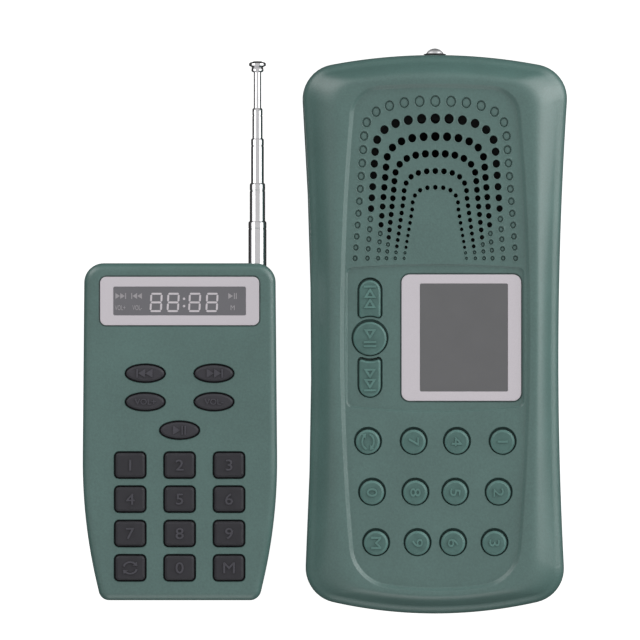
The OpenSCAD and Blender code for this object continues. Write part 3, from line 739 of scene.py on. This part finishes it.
def emboss(skin, shape, place, height, angle=0.0, stretch=1.0):
    """Stands a raised mark, (word, size) or a list of outlines, on a face at the point place.

    The mark takes the piece's second material, a lighter rubber that paints a highlight on it.
    """
    sink = 0.05
    curve = text_curve(*shape) if isinstance(shape, tuple) else outline_curve(shape)
    mesh = raised(curve, height)
    # the whole mark takes the lighter material, a painted highlight
    for face in mesh.polygons:
        face.material_index = 1
    low = Vector(min(v.co[k] for v in mesh.vertices) for k in range(3))
    high = Vector(max(v.co[k] for v in mesh.vertices) for k in range(3))
    middle = (low + high) / 2 if isinstance(shape, tuple) else Vector((0, 0, (low.z + high.z) / 2))
    squeeze = Matrix.Diagonal((stretch, 1, (height + sink) / (high.z - low.z), 1))
    stand = Matrix.Translation(Vector(place) + Vector((0, 0, (height - sink) / 2)))
    skin.add_mesh(mesh, stand @ Matrix.Rotation(angle, 4, "Z") @ squeeze @ Matrix.Translation(-middle))
    bpy.data.meshes.remove(mesh)


def print_flat(skin, outlines, z, material=0):
    """Thin printed shapes on a face at height z."""
    for points in outlines:
        low, high = skin.loop(points, z - 0.03), skin.loop(points, z + 0.02)
        skin.bridge(low, high, material)
        skin.fill(low, (), material)
        skin.fill(high, (), material)


def placed(outlines, x, y):
    return [[p + Vector((x, y)) for p in points] for points in outlines]


# ---------------- caller shell


def blend_loops(a, b, t):
    return [p.lerp(q, t) for p, q in zip(a, b)]


def hole_edge(skin, outline, z_face, z_under):
    """A key hole or grille hole with a rounded mouth; returns its upper and lower loops."""
    return skin.stack(outline, [(0.34, z_face), (0.2, z_face + 0.04), (0.07, z_face - 0.05),
                                (0, z_face - 0.24), (0, z_under)])


def key_holes(skin, outlines, z_face, z_under, shift=Vector((0, 0))):
    """A hole round each key outline, moved by shift; returns their upper loops and their lower ones."""
    pairs = [hole_edge(skin, lambda grow, o=o: [p + shift for p in o(KEY_GAP + grow)], z_face, z_under)
             for o in outlines]
    return [top for top, _ in pairs], [low for _, low in pairs]


def lens_seat(skin, node, corner, ledge, z_face, z_under, points):
    """The recess of a display lens and the opening under it; returns the two loops of each."""
    low, high = node_box(node)
    c, size = (low + high) / 2, high - low
    z_seat = low.z - SEAT_SINK

    def seat(grow):
        return box_at(c.x, c.y, size.x + 2 * LENS_GAP, size.y + 2 * LENS_GAP, corner + LENS_GAP, grow, points)

    def opening(grow):
        return box_at(c.x, c.y, size.x - 2 * ledge, size.y - 2 * ledge, corner / 2, grow, points)

    seat_loops = skin.stack(seat, [(0.3, z_face), (0.1, z_face - 0.08), (0, z_face - 0.25), (0, z_seat)])
    return seat_loops + skin.stack(opening, [(0, z_seat), (0, z_under)])


def step_down(skin, outline, z_from, z_to):
    """The soft wall of a recess; outline takes grow. Returns the upper and lower loops."""
    run, drop = 0.9, z_from - z_to
    return skin.stack(outline, [(run * 0.5, z_from), (run * 0.22, z_from - drop * 0.12),
                                (0, z_from - drop * 0.5), (-run * 0.22, z_to + drop * 0.12),
                                (-run * 0.5, z_to)])


def caller_front():
    skin = Skin()

    def case(inset):
        return arched_outline(CASE_PLAN, inset)

    def panel(grow):
        return arched_outline(PANEL_PLAN, -grow)

    def pocket(grow):
        return arched_outline(POCKET_PLAN, -grow)

    # side wall and rounded shoulder
    lip, shoulder = skin.stack(lambda g: case(-g), [
        (-0.3, CASE_SPLIT), (0, CASE_SPLIT + 0.3), (-0.15, CASE_TOP - 12.5), (-0.3, CASE_TOP - 10.6),
        (-0.62, CASE_TOP - 9.4), (-1.15, CASE_TOP - 8.45), (-1.9, CASE_TOP - 7.6), (-2.8, CASE_TOP - 6.85)])
    # flank up to the soft crest round the panel
    start, end = case(2.8), panel(PANEL_RUN)
    before = shoulder
    crest, rise, rim_drop, steps = 0.8, 6.85, 0.12, 14
    for i in range(1, steps + 1):
        t = i / steps
        climb = math.sin(math.pi / 2 * min(t / crest, 1)) ** 0.93 if t < crest else 1
        z = CASE_TOP - rise * (1 - climb) - rim_drop * max(0, (t - crest) / (1 - crest)) ** 2
        ring = skin.loop(blend_loops(start, end, t), z)
        skin.bridge(before, ring)
        before = ring
    rim_z = CASE_TOP - rim_drop
    _, panel_edge = skin.stack(panel, [
        (PANEL_RUN, rim_z), (0.68, rim_z - 0.05), (0.42, rim_z - 0.24), (-0.38, PANEL_Z + 0.24),
        (-0.66, PANEL_Z + 0.06), (-PANEL_RUN, PANEL_Z)])
    # display pocket
    pocket_top, pocket_foot = step_down(skin, pocket, PANEL_Z, POCKET_Z)
    # grille
    mouths, under = [], []
    for x, y, d, is_open in grille_holes():
        count = 28 if d > 2 else 18
        brow = min(0.4, 0.1 + 0.16 * d)
        rim = [(brow, PANEL_Z), (brow * 0.7, PANEL_Z + brow * 0.24), (brow * 0.35, PANEL_Z + brow * 0.24)]
        tall = GRILLE_TALL if is_open else DIMPLE_TALL

        def ring(grow, x=x, y=y, r=d / 2, n=count, tall=tall):
            return [Vector((p.x, y + (p.y - y) * tall)) for p in circle(x, y, r / math.sqrt(tall) + grow, n)]

        if is_open:
            top, low = skin.stack(ring, rim + [(0.05, PANEL_Z), (0, PANEL_Z - 0.2), (0, CEILING_Z)])
            under.append(low)
        else:
            moat = min(0.34, 0.16 * d)
            top, low = skin.stack(ring, rim + [
                (0.05, PANEL_Z), (-0.02, PANEL_Z - DIMPLE_DEPTH * 0.75),
                (-moat * 0.6, PANEL_Z - DIMPLE_DEPTH * 0.8), (-moat, PANEL_Z - DIMPLE_DEPTH * 0.5),
                (-moat * 1.5, PANEL_Z - DIMPLE_DEPTH * 0.4)])
            skin.fill(low)
        mouths.append(top)
    grid_mouths, grid_under = key_holes(skin, map(grid_outline, GRID_KEYS), PANEL_Z, CEILING_Z, SAG)
    function_mouths, function_under = key_holes(
        skin, FUNCTION_OUTLINES.values(), POCKET_Z, CEILING_Z, SAG)
    seat_top, seat_foot, opening_top, opening_low = lens_seat(
        skin, "display_lens", LENS_R, LEDGE, POCKET_Z, CEILING_Z, 6)
    # flat faces
    skin.fill(panel_edge, [pocket_top] + mouths + grid_mouths)
    skin.fill(pocket_foot, [seat_top] + function_mouths)
    skin.fill(seat_foot, [opening_top])
    # inside
    inner = [skin.loop(case(g), z) for g, z in ((CASE_WALL, CASE_SPLIT), (CASE_WALL, CASE_TOP - 12),
                                                (10, CEILING_Z))]
    skin.bridge(lip, inner[0])
    skin.bridge(inner[0], inner[1])
    skin.bridge(inner[1], inner[2])
    skin.fill(inner[2], under + grid_under + function_under + [opening_low])
    bmesh.ops.remove_doubles(skin.bm, verts=skin.bm.verts, dist=0.0005)
    finish_mesh(skin, "caller_front_case", [case_plastic], "caller", ["front_shell"], "case_plastic", 50)


# ---------------- keys


def key_cap(node, outline, edge, flange, mark, angle, stretch, materials, record_slot, rim=0):
    """A key with its flange and its raised mark; outline takes grow, rim is the edge's material number (at 1
    the rounded edge takes the lighter rubber, a painted highlight).
    """
    skin = Skin()
    c = node_centre(node)
    top = node_box(node)[1].z - MARK_H
    flange_top = (REMOTE_CEILING if node.startswith("remote") else CEILING_Z) - FLANGE_GAP
    # the strips of the rounded edge take material rim; the caller keys set it to the lighter rubber, painting
    # a highlight along the edge
    base, face = skin.stack(outline, [
        (flange, flange_top - FLANGE_T), (flange, flange_top), (0, flange_top), (0, top - edge),
        (-edge * 0.06, top - edge * 0.84), (-edge * 0.14, top - edge * 0.74),
        (-edge * 0.78, top - edge * 0.1, rim), (-edge * 0.9, top - edge * 0.02, rim), (-edge, top)])
    skin.fill(base)
    skin.fill(face)
    emboss(skin, mark, (c.x, c.y, top), MARK_H, angle, stretch)
    finish_mesh(skin, "cap_" + node, materials, "press_" + node, [node], record_slot)


def key_mark(name, loop_size, figure_size):
    """The mark of a numbered, repeat or menu key, whose node name ends in name."""
    if name == "repeat":
        return marks("repeat", loop_size)
    return ("M" if name == "menu" else name, figure_size)


def caller_keys():
    quarter = -math.pi / 2
    # the second look is the lighter rubber, a painted highlight on the marks and on the rounded rims
    looks = [key_rubber, painted_highlight_green]
    for node in GRID_KEYS:
        key_cap(node, grid_outline(node), 0.95, FLANGE_GROW, key_mark(node[4:], 4.6, 5.2), quarter, 1.3,
                looks, "caller_keys", 1)
    for node, outline in FUNCTION_OUTLINES.items():
        flange = FLANGE_GROW if node == "key_play" else FLANGE_GROW / 2
        key_cap(node, outline, 0.75, flange, hollow(marks(node[4:], 4.4)), quarter, 1.0,
                looks, "caller_keys", 1)


def remote_keys():
    # the second look is the lighter rubber, a painted highlight on the marks
    for node, mark in OVAL_KEYS.items():
        shape = (mark, 2.9) if mark.startswith("VOL") else marks(mark, 3.0)
        key_cap(node, oval_outline(node), 0.7, 1.0, shape, 0.0, 1.05, [oval_rubber_painted_lighter, painted_highlight_charcoal], "remote_keys")
    for node in SQUARE_KEYS:
        key_cap(node, square_outline(node), 0.8, 0.7, key_mark(node[11:], 4.6, 5.6), 0.0, 1.15,
                [dark_rubber, painted_highlight_charcoal], "remote_keys")


# ---------------- displays


def lens(name, node, body, corner, window, tint):
    """A front plate with a printed silver frame round a smoked window (left, right, foot, head borders)."""
    low, high = node_box(node)
    c, size = (low + high) / 2, high - low
    left, right, foot, head = window
    wx, wy = c.x + (left - right) / 2, c.y + (foot - head) / 2
    ww, wl = size.x - left - right, size.y - foot - head
    skin = Skin()

    def edge(grow):
        return box_at(c.x, c.y, size.x, size.y, corner, grow, 8)

    base, rim = skin.stack(edge, [(0, low.z), (0, high.z - 0.22), (-0.07, high.z - 0.07), (-0.24, high.z)])
    skin.fill(base)
    # a hairline groove parts the frame from the window
    window_r, groove_z, pane_z = 0.5, high.z - 0.12, high.z - 0.05
    mouth, groove, pane = [skin.loop(box_at(wx, wy, ww, wl, window_r, grow), z)
                           for grow, z in ((0.12, high.z), (0.04, groove_z), (-0.06, pane_z))]
    skin.fill(rim, [mouth])
    skin.bridge(mouth, groove)
    skin.bridge(groove, pane, 1)
    skin.fill(pane, (), 1)
    finish_mesh(skin, name, [silver_print, tint], body, [node], "lens", 30)
    return Vector((wx, wy, pane_z))


def seven_segments(x, y, w, h, slant=0.05):
    """Outlines of a figure eight of seven pointed bars."""
    t, gap = w * 0.155, w * 0.06
    bars = []
    for sy in (-1, 0, 1):
        half, cy = w / 2 - gap, y + sy * (h / 2 - t / 2)
        shape = [(-half + t / 2, t / 2), (half - t / 2, t / 2), (half, 0), (half - t / 2, -t / 2),
                 (-half + t / 2, -t / 2), (-half, 0)]
        bars.append([Vector((x + px, cy + py)) for px, py in shape])
    for sx in (-1, 1):
        for sy in (-1, 1):
            half, cy = (h - t) / 4 - gap, y + sy * (h - t) / 4
            cx = x + sx * (w / 2 - t / 2)
            shape = [(-t / 2, half - t / 2), (0, half), (t / 2, half - t / 2), (t / 2, -half + t / 2),
                     (0, -half), (-t / 2, -half + t / 2)]
            bars.append([Vector((cx + px, cy + py)) for px, py in shape])
    return [[Vector((p.x + slant * (p.y - y), p.y)) for p in points] for points in bars]


def remote_segments(pane):
    """The lit figures and marks behind the remote's window."""
    skin = Skin()
    digit_y, upper, lower = pane.y - 0.5, pane.y + 1.8, pane.y - 2.4
    left, right, end = pane.x - 21.3, pane.x - 15.2, pane.x + 19.0
    digits, small = [], []
    digit_w, digit_h, colon_x, dot_r = 4.4, 6.9, pane.x + 1.6, 0.45
    for x in (-8.4, -2.3, 5.4, 11.6):
        digits += seven_segments(pane.x + x, digit_y, digit_w, digit_h)
    for y in (-1.3, 1.3):
        digits.append(circle(colon_x, digit_y + y, dot_r, 12))
    for kind, x in (("next", left), ("previous", right), ("play", end)):
        small += placed(marks(kind, 2.1), x, upper)
    print_flat(skin, digits, pane.z)
    print_flat(skin, small, pane.z, 1)
    for text, x, stretch in (("VOL+", left, 0.62), ("VOL-", right, 0.62), ("M", end, 0.9)):
        emboss(skin, (text, 2.5), (x, lower, pane.z), 0.02, 0.0, stretch)
    finish_mesh(skin, "remote_display_segments", [segment_ink, faint_ink], "remote", (), "display",
                weighted=False)


def displays():
    lens("caller_display_front", "display_lens", "caller", LENS_R, (6.6, 4.8, 3.4, 3.3), window_tint)
    pane = lens("remote_display_front", "remote_display_lens", "remote", REMOTE_LENS_R,
                (4.8, 4.8, 3.6, 3.6), remote_tint)
    remote_segments(pane)


# ---------------- remote shell


def remote_front():
    skin = Skin()
    # the rounded shoulder is a quarter of an oval, run by rise
    run, rise, steps = 2.9, 3.2, 9
    rounding = [(-0.12 - run * (1 - math.cos(a)), REMOTE_TOP - rise + rise * math.sin(a))
                for a in (math.pi / 2 * i / steps for i in range(steps + 1))]
    lip, face_edge = skin.stack(lambda g: remote_outline(-g),
                                [(-0.25, REMOTE_SPLIT), (0, REMOTE_SPLIT + 0.25)] + rounding)
    outlines = [oval_outline(n) for n in OVAL_KEYS] + [square_outline(n) for n in SQUARE_KEYS]
    mouths, under = key_holes(skin, outlines, REMOTE_TOP, REMOTE_CEILING)
    seat_top, seat_foot, opening_top, opening_low = lens_seat(
        skin, "remote_display_lens", REMOTE_LENS_R, REMOTE_LEDGE, REMOTE_TOP, REMOTE_CEILING, 8)
    skin.fill(face_edge, [seat_top] + mouths)
    skin.fill(seat_foot, [opening_top])
    inner = [skin.loop(remote_outline(REMOTE_WALL), z) for z in (REMOTE_SPLIT, REMOTE_CEILING)]
    skin.bridge(lip, inner[0])
    skin.bridge(inner[0], inner[1])
    skin.fill(inner[1], under + [opening_low])
    bmesh.ops.remove_doubles(skin.bm, verts=skin.bm.verts, dist=0.0005)
    finish_mesh(skin, "remote_front_case", [case_plastic], "remote", ["remote_front_shell"],
                "remote_case_plastic", 50)


# ---------------- antenna and power button


def along_y(x, y, z):
    """A place whose Z axis points along +Y."""
    return Matrix.Translation((x, y, z)) @ Matrix.Rotation(-math.pi / 2, 4, "X")


def antenna():
    wall, groove, mouth = 0.4, 0.1, 0.28       # tube wall, turned groove, rolled-in mouth
    for k in range(1, 5):
        node = "antenna_tube_%d" % k
        low, high = node_box(node)
        c, r, length = (low + high) / 2, (high.x - low.x) / 2, high.y - low.y
        profile = [(r - wall, 0), (r, 0), (r, length - 3.0), (r - groove, length - 2.85),
                   (r - groove, length - 2.55), (r, length - 2.4), (r, length - 0.55),
                   (r - groove, length - 0.22), (r - mouth, length - 0.04), (r - wall, length)]
        skin = Skin()
        skin.lathe(profile, along_y(c.x, low.y, c.z), 56, closed=True)
        finish_mesh(skin, "antenna_section_%d" % k, [chrome], "antenna_%d" % k, [node], "antenna_chrome", 30)
    low, high = node_box("antenna_rod")
    c = (low + high) / 2
    # the rod ends in a turned cap: (radius, height over the rod's end)
    rod, wide, cap_h = 1.33, (high.x - low.x) / 2, 4.0
    neck = high.y - low.y - cap_h
    cap = [(rod + 0.35, 0.02), (2.05, 0.25), (2.2, 0.6), (2.15, 1.25), (2.0, 1.7), (2.3, 2.0),
           (wide - 0.15, 2.25), (wide, 2.5), (wide, 3.1), (wide - 0.15, 3.35), (wide - 0.6, 3.6),
           (wide - 1.3, 3.72), (wide - 1.6, 3.95), (0, cap_h)]
    profile = [(0, 0), (rod, 0), (rod, neck)] + [(r, neck + h) for r, h in cap]
    skin = Skin()
    skin.lathe(profile, along_y(c.x, low.y, c.z), 56)
    finish_mesh(skin, "antenna_tip", [chrome], "antenna_5", ["antenna_rod"], "antenna_chrome", 30)


def power_button():
    low, high = node_box("power_button")
    c = (low + high) / 2
    length, wide, rise, stem = high.y - low.y, (high.x - low.x) / 2, 1.9, 1.85
    sphere = (wide * wide + rise * rise) / (2 * rise)
    start, steps = math.asin(1 - (rise - 0.12) / sphere), 9
    dome = [(sphere * math.cos(a), length - sphere + sphere * math.sin(a)) for a in
            (start + (math.pi / 2 - start) * i / steps for i in range(steps))]
    cap_low = length - rise
    profile = [(0, 0), (stem, 0), (stem, cap_low), (wide - 0.08, cap_low), (wide, cap_low + 0.06)] + dome
    skin = Skin()
    skin.lathe(profile + [(0, length)], along_y(c.x, low.y, c.z), 48)
    finish_mesh(skin, "power_dome", [satin_chrome], "caller_power", ["power_button"], "button_chrome", 30)
    # switch body with its collar
    low, high = node_box("power_switch")
    face = CASE_HALF_LENGTH
    collar = high.y - face
    outer, sleeve_r, bore, well, sunk, reach = 4.1, 3.65, 1.95, 3.3, -0.65, 8.4
    profile = [(bore, -reach), (sleeve_r, -reach), (sleeve_r, 0.02), (outer - 0.08, 0.02), (outer, 0.08),
               (outer - 0.03, 0.15), (outer - 0.25, collar - 0.06), (outer - 0.38, collar),
               (well + 0.08, collar), (well, collar - 0.06), (well, sunk), (bore, sunk)]
    skin = Skin()
    skin.lathe(profile, along_y(c.x, face, c.z), 48, closed=True)
    # the switch block: width, height, corner radius and edge; its outline lies in the XZ plane
    block_w, block_h, corner, edge = 11, 9, 0.8, 0.4
    rings = []
    for grow, y in ((0, face - 2.7), (0, low.y + edge), (-edge, low.y)):
        outline = box_at(c.x, c.z, block_w, block_h, corner, grow, 4)
        rings.append(skin.ring3([Vector((p.x, y, p.y)) for p in outline]))
    for a, b in zip(rings, rings[1:]):
        skin.bridge(a, b)
    skin.bm.faces.new(rings[0])
    skin.bm.faces.new(rings[-1])
    finish_mesh(skin, "power_collar", [black_plastic], "caller", ["power_switch"], "black_plastic", 35)


# ---------------- CAD nodes with softened edges


def softened(node, body, record_slot, edge):
    """A copy of a CAD shell with merged faces and rounded edges, which stands for the node."""
    angle = 35
    bm = bmesh.new()
    bm.from_mesh(frame["nodes"][node].data)
    bmesh.ops.remove_doubles(bm, verts=bm.verts, dist=0.000004)
    bmesh.ops.dissolve_limit(bm, angle_limit=math.radians(0.6), verts=bm.verts, edges=bm.edges)
    bmesh.ops.recalc_face_normals(bm, faces=bm.faces)
    mesh = bpy.data.meshes.new(node + "_finished")
    bm.to_mesh(mesh)
    bm.free()
    mesh.materials.clear()
    piece = finish_piece(mesh, node + "_finished", [case_plastic], body, [node], record_slot, angle, False)
    bevel = piece.modifiers.new("edges", "BEVEL")
    bevel.width = edge * MM
    bevel.segments = 2
    bevel.limit_method = "ANGLE"
    bevel.angle_limit = math.radians(angle)
    bevel.harden_normals = True


def cad_looks():
    for unit, prefix, slot, edge in (("caller", "", "case_plastic", 0.25),
                                     ("remote", "remote_", "remote_case_plastic", 0.2)):
        softened(prefix + "rear_shell", unit, slot, edge)
        softened(prefix + "battery_door", unit + "_door", slot, edge)
    plain = {
        "display_module": black_plastic, "speaker_frame": speaker_black_and_hole_shade, "speaker_cone": cone_paper,
        "circuit_board": laminate, "keypad_mat": silicone, "battery_cells": sleeve,
        "battery_contacts": nickel, "case_screws": zinc, "remote_display_module": black_plastic,
        "remote_circuit_board": laminate, "remote_battery_cells": sleeve, "remote_case_screws": zinc,
        "antenna_bush": black_plastic,
    }
    for node, material in plain.items():
        mesh = frame["nodes"][node].data
        mesh.materials.clear()
        mesh.materials.append(material)


# ---------------- studio


def area_light(name, place, target, size, power, pieces):
    """A softbox that lights one collection of pieces and is shaded by nothing else."""
    light = bpy.data.lights.new(name, "AREA")
    light.shape = "RECTANGLE"
    light.size, light.size_y = size
    light.energy = power
    holder = bpy.data.objects.new(name, light)
    holder.location = place
    holder.rotation_euler = (Vector(target) - Vector(place)).to_track_quat("-Z", "Y").to_euler()
    bpy.context.scene.collection.objects.link(holder)
    holder.light_linking.receiver_collection = pieces
    holder.light_linking.blocker_collection = pieces


# brightness of the studio round the object, from straight below to straight overhead: (height, grey)
SKY = ((-1.0, 0.03), (-0.3, 0.05), (0.0, 0.12), (0.14, 0.22), (0.26, 0.64), (0.7, 0.54), (1.0, 0.6))

# softboxes round each unit: (compass angle, elevation, watts); round the antenna they stand higher
BOXES = {"right": (15, 12, 6.4), "far_right": (45, 15, 4.0), "far_left": (135, 15, 4.4),
         "near": (270, 15, 1.9)}
ANTENNA_BOXES = {"left": (180, 33, 2.6), "right": (0, 33, 3.2)}
BOX_SIZE = (0.6, 1.0)
ANTENNA_BOX_SIZE = (0.6, 0.76)
BOX_DISTANCE = 1.05


def sky():
    world = bpy.data.worlds.new("studio")
    world.use_nodes = True
    tree = world.node_tree
    where = tree.nodes.new("ShaderNodeTexCoord")
    parts = tree.nodes.new("ShaderNodeSeparateXYZ")
    scale = tree.nodes.new("ShaderNodeMapRange")
    ramp = tree.nodes.new("ShaderNodeValToRGB")
    scale.inputs["From Min"].default_value = -1
    elements = ramp.color_ramp.elements
    elements.remove(elements[1])
    for k, (height, grey) in enumerate(SKY):
        stop = elements[0] if k == 0 else elements.new((height + 1) / 2)
        stop.position = (height + 1) / 2
        stop.color = (grey, grey, grey, 1)
    tree.links.new(where.outputs["Generated"], parts.inputs["Vector"])
    tree.links.new(parts.outputs["Z"], scale.inputs["Value"])
    tree.links.new(scale.outputs["Result"], ramp.inputs["Fac"])
    tree.links.new(ramp.outputs["Color"], tree.nodes["Background"].inputs["Color"])
    bpy.context.scene.world = world


def floor():
    mesh = bpy.data.meshes.new("floor")
    half, low = 6.0, -0.0004
    mesh.from_pydata([(-half, -half, low), (half, -half, low), (half, half, low), (-half, half, low)], [],
                     [(0, 1, 2, 3)])
    plane = bpy.data.objects.new("floor", mesh)
    s = Shader("pale_floor")
    s.set(Base_Color=(0.6, 0.6, 0.6, 1), Roughness=0.95, Specular_IOR_Level=0.0,
          Emission_Color=(1, 1, 1, 1), Emission_Strength=0.92)
    mesh.materials.append(s.material)
    plane.visible_glossy = False
    plane.visible_diffuse = False
    bpy.context.scene.collection.objects.link(plane)


def unit_sets():
    """A collection of the pieces of each unit, and one of the antenna's."""
    sets = {unit: bpy.data.collections.new(unit + "_set") for unit in ("caller", "remote", "antenna")}
    for piece in bpy.context.scene.objects:
        if piece.type == "MESH" and piece.name != "floor":
            unit = "remote" if piece.name.startswith(("remote", "cap_remote")) else "caller"
            sets["antenna" if piece.name.startswith("antenna") else unit].objects.link(piece)
    return sets


def studio():
    """Soft light from all sides; each unit has its own set of boxes, so neither shades the other."""
    sky()
    floor()
    middle = Vector((-0.04, 0.03, 0.02))
    for unit, pieces in unit_sets().items():
        boxes, size = (ANTENNA_BOXES, ANTENNA_BOX_SIZE) if unit == "antenna" else (BOXES, BOX_SIZE)
        for side, (compass, elevation, power) in boxes.items():
            a, e = math.radians(compass), math.radians(elevation)
            way = Vector((math.cos(e) * math.cos(a), math.cos(e) * math.sin(a), math.sin(e)))
            area_light(f"{unit}_{side}_box", middle + BOX_DISTANCE * way, middle, size, power, pieces)


def camera():
    lens_data = bpy.data.cameras.new("camera")
    eye = bpy.data.objects.new("camera", lens_data)
    field, distance, sensor = 0.2286, 4.0, 36
    aim_x, aim_y, aim_z = -0.0411, 0.0051, 0.036
    lens_data.sensor_width = sensor
    lens_data.lens = sensor * distance / field
    lens_data.clip_end = 20
    eye.location = (aim_x, aim_y, aim_z + distance)
    bpy.context.scene.collection.objects.link(eye)
    bpy.context.scene.camera = eye
    bpy.context.scene.view_settings.view_transform = "Standard"


camera()
caller_front()
caller_keys()
displays()
remote_front()
remote_keys()
antenna()
power_button()
cad_looks()
studio()

bpy.context.view_layer.update()
